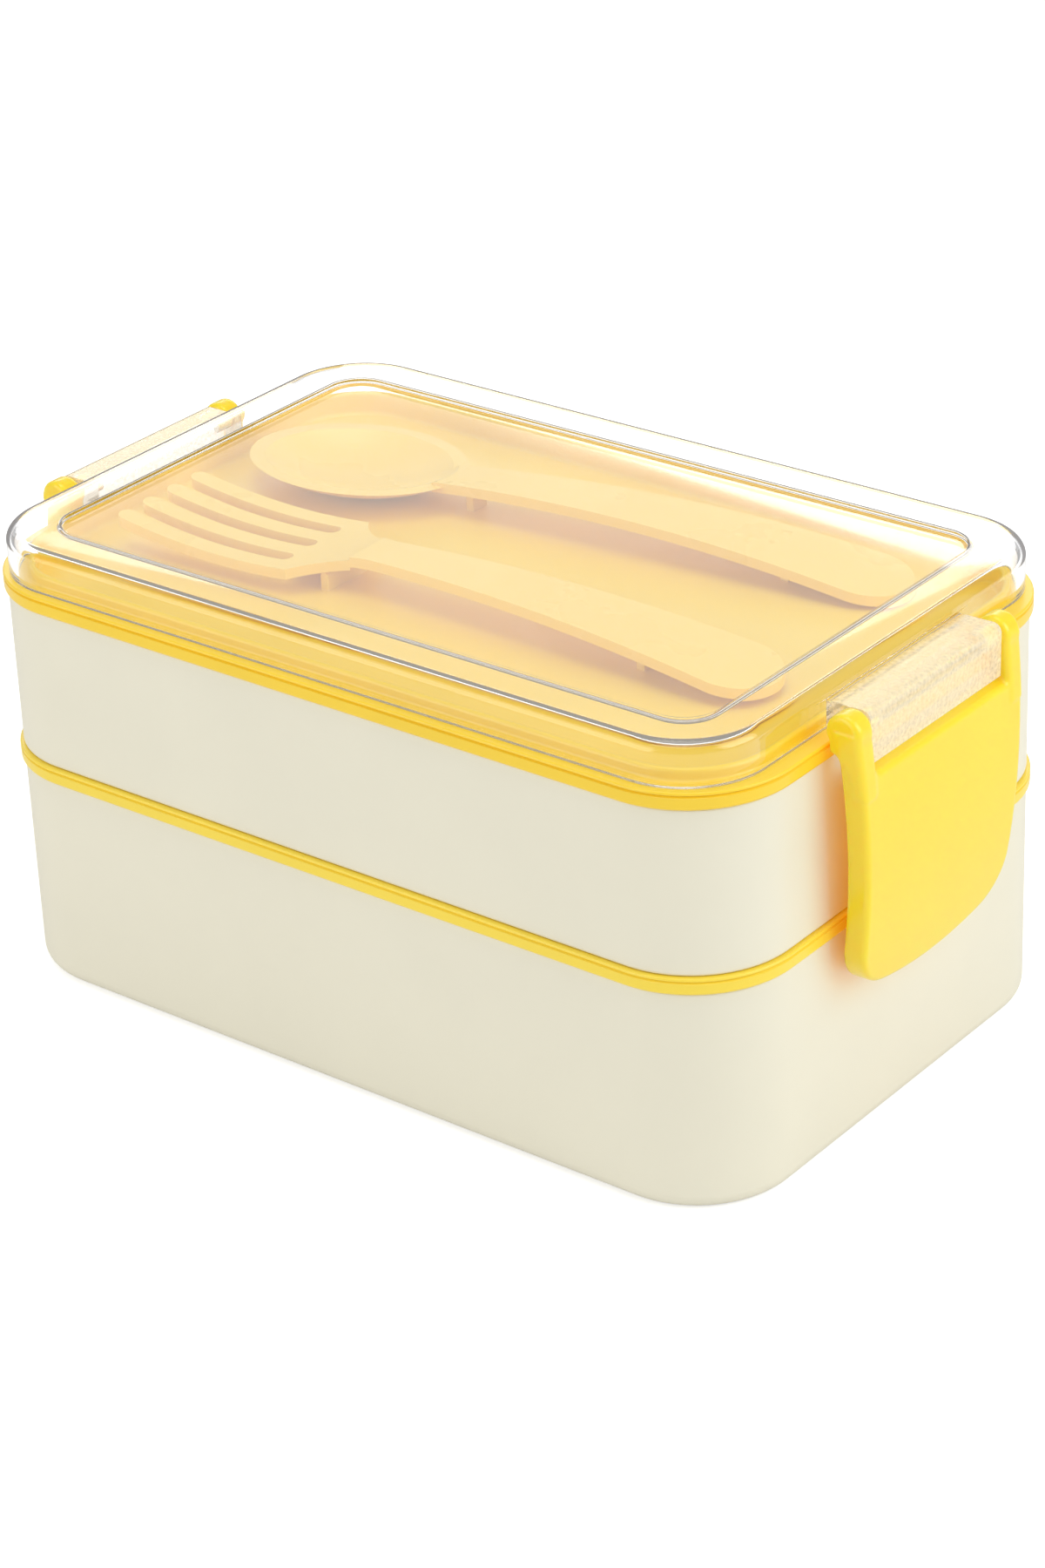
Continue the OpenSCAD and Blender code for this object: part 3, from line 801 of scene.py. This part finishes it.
def skinned(name, field, low, high, step):
    """Meshes a field's zero surface. Each grid cell that the surface passes through
    gets one point, at the mean of the crossings on its edges, and each crossed edge
    gets a face between its four cells. The points then settle onto the surface."""
    axes = [np.arange(a, b + step, step) for a, b in zip(low, high)]
    grid = field(*np.meshgrid(*axes, indexing="ij"))
    cells = tuple(n - 1 for n in grid.shape)
    total = np.zeros((*cells, 3))
    count = np.zeros(cells)
    crossings = []
    for axis in range(3):
        near = [slice(None)] * 3
        far = [slice(None)] * 3
        near[axis], far[axis] = slice(0, -1), slice(1, None)
        a, b = grid[tuple(near)], grid[tuple(far)]
        cross = (a < 0) != (b < 0)
        crossings.append((cross, a < 0))
        share = np.where(cross, a / np.where(cross, a - b, 1), 0)
        others = [k for k in range(3) if k != axis]
        for i in (0, 1):
            for k in (0, 1):
                part = [slice(None)] * 3
                part[others[0]] = slice(i, cells[others[0]] + i)
                part[others[1]] = slice(k, cells[others[1]] + k)
                hit = cross[tuple(part)]
                count += hit
                total[..., axis] += np.where(hit, share[tuple(part)], 0)
                total[..., others[0]] += hit * i
                total[..., others[1]] += hit * k
    mixed = count > 0
    number = np.full(cells, -1)
    number[mixed] = np.arange(mixed.sum())
    spot = np.argwhere(mixed) + total[mixed] / count[mixed][:, None]
    points = np.array(low) + spot * step
    quads = []
    for axis, (cross, inside) in enumerate(crossings):
        u, v = (axis + 1) % 3, (axis + 2) % 3
        for place in np.argwhere(cross):
            if 0 < place[u] < cells[u] and 0 < place[v] < cells[v]:
                turn = []
                for du, dv in ((-1, -1), (0, -1), (0, 0), (-1, 0)):
                    cell = place.copy()
                    cell[u] += du
                    cell[v] += dv
                    turn.append(number[tuple(cell)])
                quads.append(turn if inside[tuple(place)] else turn[::-1])
    nudge = step / 20
    settling_rounds = 4
    for _ in range(settling_rounds):
        here = field(*points.T)
        slope = np.stack([(field(*(points + nudge * e).T) - field(*(points - nudge * e).T))
                          / (2 * nudge) for e in np.eye(3)], axis=1)
        steep = np.maximum((slope ** 2).sum(axis=1), 0.2)
        points -= np.clip(here / steep, -step / 2, step / 2)[:, None] * slope
    mesh = bpy.data.meshes.new(name)
    mesh.from_pydata((points * MM).tolist(), [], quads)
    mesh.polygons.foreach_set("use_smooth", [True] * len(mesh.polygons))
    mesh.update()
    return mesh


clip_plastic = moulded_plastic("clip_plastic", CLIP, 0.3, speck=0.02, grain=0.02, coat=0.4,
                               glow=0.7)
tree = clip_plastic.node_tree
rays = tree.nodes.new("ShaderNodeLightPath").outputs
seeping = tree.nodes.new("ShaderNodeBsdfTransparent")
seeping.inputs["Color"].default_value = (*CLIP_SEEPS, 1)
lets_light_by = blended(tree, rays["Is Shadow Ray"], tree.nodes["Principled BSDF"].outputs["BSDF"],
                        seeping.outputs["BSDF"])
tree.links.new(lets_light_by, tree.nodes["Material Output"].inputs["Surface"])
clip_step = 0.45
clip_margin = Vector((1, 1, 1))
clip_mesh = skinned("clip", clip_field(clip_outline()), clip_low - clip_margin,
                    clip_high + clip_margin, clip_step)
for name, turn in (("clip_right", 0), ("clip_left", 180)):
    mesh = clip_mesh.copy()
    mesh.transform(Matrix.Rotation(math.radians(turn), 4, "Z"))
    clip = bpy.data.objects.new(name + "_moulding", mesh)
    bpy.context.scene.collection.objects.link(clip)
    dress(clip, clip_plastic, name, "clip_plastic", name)

# ---------------------------------------------------------------------------
# Table, light and camera. A plain white table under an even white sky. A broad
# key light stands beyond the clip's end, a fill by the long face and one light
# overhead; three low ones behind show in the clear panel as its pale sheen.

table_half = 3.0
table_glow = 0.5
sky_strength = 0.48
aim = Vector((0, 0, 0.05))
lamp_far = 1.5
lamp_turn = math.radians(39)
camera_turn = math.radians(38.996)
camera_rise = math.radians(27.284)
camera_roll = math.radians(-2.471)
camera_far = 0.8410
camera_aim = Vector((0, 0, 0.045))
frame_height = 1800
focal_pixels = 4727.3
off_centre = (5.17, -13.1)
film_width = 36

corners = [(sx * table_half, sy * table_half, 0) for sx, sy in ((-1, -1), (1, -1), (1, 1), (-1, 1))]
table_mesh = bpy.data.meshes.new("table")
table_mesh.from_pydata(corners, [], [(0, 1, 2, 3)])
table = bpy.data.objects.new("table", table_mesh)
bpy.context.scene.collection.objects.link(table)
table_white = bpy.data.materials.new("table_white")
table_white.use_nodes = True
tree = table_white.node_tree
shader = tree.nodes["Principled BSDF"]
shader.inputs["Base Color"].default_value = (0.86, 0.86, 0.86, 1)
shader.inputs["Roughness"].default_value = 0.9
shader.inputs["Emission Color"].default_value = (1, 1, 1, 1)
rays = tree.nodes.new("ShaderNodeLightPath").outputs
seen = maths(tree, "MAXIMUM", rays["Is Camera Ray"], rays["Is Transmission Ray"])
tree.links.new(maths(tree, "MULTIPLY", seen, table_glow), shader.inputs["Emission Strength"])
table.data.materials.append(table_white)

# The sky is full white to the eye, also through the clear lid, and weaker as a light.
world = bpy.data.worlds.new("studio")
bpy.context.scene.world = world
world.use_nodes = True
tree = world.node_tree
sky = tree.nodes["Background"]
sky.inputs["Color"].default_value = (1, 1, 1, 1)
rays = tree.nodes.new("ShaderNodeLightPath").outputs
through_lid = maths(tree, "MULTIPLY", rays["Is Transmission Ray"],
                    maths(tree, "LESS_THAN", rays["Glossy Depth"], 0.5))
seen = maths(tree, "MAXIMUM", rays["Is Camera Ray"], through_lid)
strength = maths(tree, "MULTIPLY_ADD", seen, 1 - sky_strength, sky_strength)
tree.links.new(strength, sky.inputs["Strength"])


def soft_light(name, place, wide, high, power, tilt=0, colour=(1, 1, 1)):
    """A soft box that faces the middle of the lunch box, turned in its own plane."""
    data = bpy.data.lights.new(name, "AREA")
    data.shape = "RECTANGLE"
    data.size = wide
    data.size_y = high
    data.energy = power
    data.color = colour
    lamp = bpy.data.objects.new(name, data)
    turn = (aim - Vector(place)).to_track_quat("-Z", "Y").to_matrix().to_4x4()
    lamp.matrix_world = (Matrix.Translation(place) @ turn
                         @ Matrix.Rotation(math.radians(tilt), 4, "Z"))
    bpy.context.scene.collection.objects.link(lamp)


def behind(across, up):
    """A place behind the box as the camera sees it, so far across and so high up."""
    return Vector((-lamp_far * math.sin(lamp_turn) + across * math.cos(lamp_turn),
                   lamp_far * math.cos(lamp_turn) + across * math.sin(lamp_turn), up))


soft_light("key", (1.0, 0.2, 0.65), wide=0.9, high=0.9, power=6.9, colour=(0.97, 0.985, 1.0))
soft_light("fill", (-0.5, -1.15, 0.4), wide=1.0, high=1.0, power=5.6)
soft_light("overhead", (0.0, -0.1, 1.3), wide=0.8, high=0.8, power=4.0)
soft_light("back", behind(0, 0.80), wide=2.2, high=0.5, power=3.2)
soft_light("back_strip", behind(0.306, 0.743), wide=0.84, high=0.12, power=1.0, tilt=-15.5)
soft_light("side_strip", behind(-0.379, 0.731), wide=0.52, high=0.12, power=0.5, tilt=21.9)

back = Vector((math.sin(camera_turn) * math.cos(camera_rise),
               -math.cos(camera_turn) * math.cos(camera_rise), math.sin(camera_rise)))
level_right = (-back).cross(Vector((0, 0, 1))).normalized()
level_up = level_right.cross(-back)
right = level_right * math.cos(camera_roll) + level_up * math.sin(camera_roll)
up = level_up * math.cos(camera_roll) - level_right * math.sin(camera_roll)
camera_data = bpy.data.cameras.new("camera")
camera_data.sensor_width = film_width
camera_data.lens = focal_pixels / frame_height * film_width
camera_data.shift_x = off_centre[0] / frame_height
camera_data.shift_y = off_centre[1] / frame_height
camera_data.clip_start = 0.05
camera_data.clip_end = 20
camera = bpy.data.objects.new("camera", camera_data)
camera.matrix_world = Matrix.Translation(camera_aim + back * camera_far) @ Matrix(
    (right, up, back)).transposed().to_4x4()
bpy.context.scene.collection.objects.link(camera)
bpy.context.scene.camera = camera
bpy.context.scene.view_settings.view_transform = "Standard"
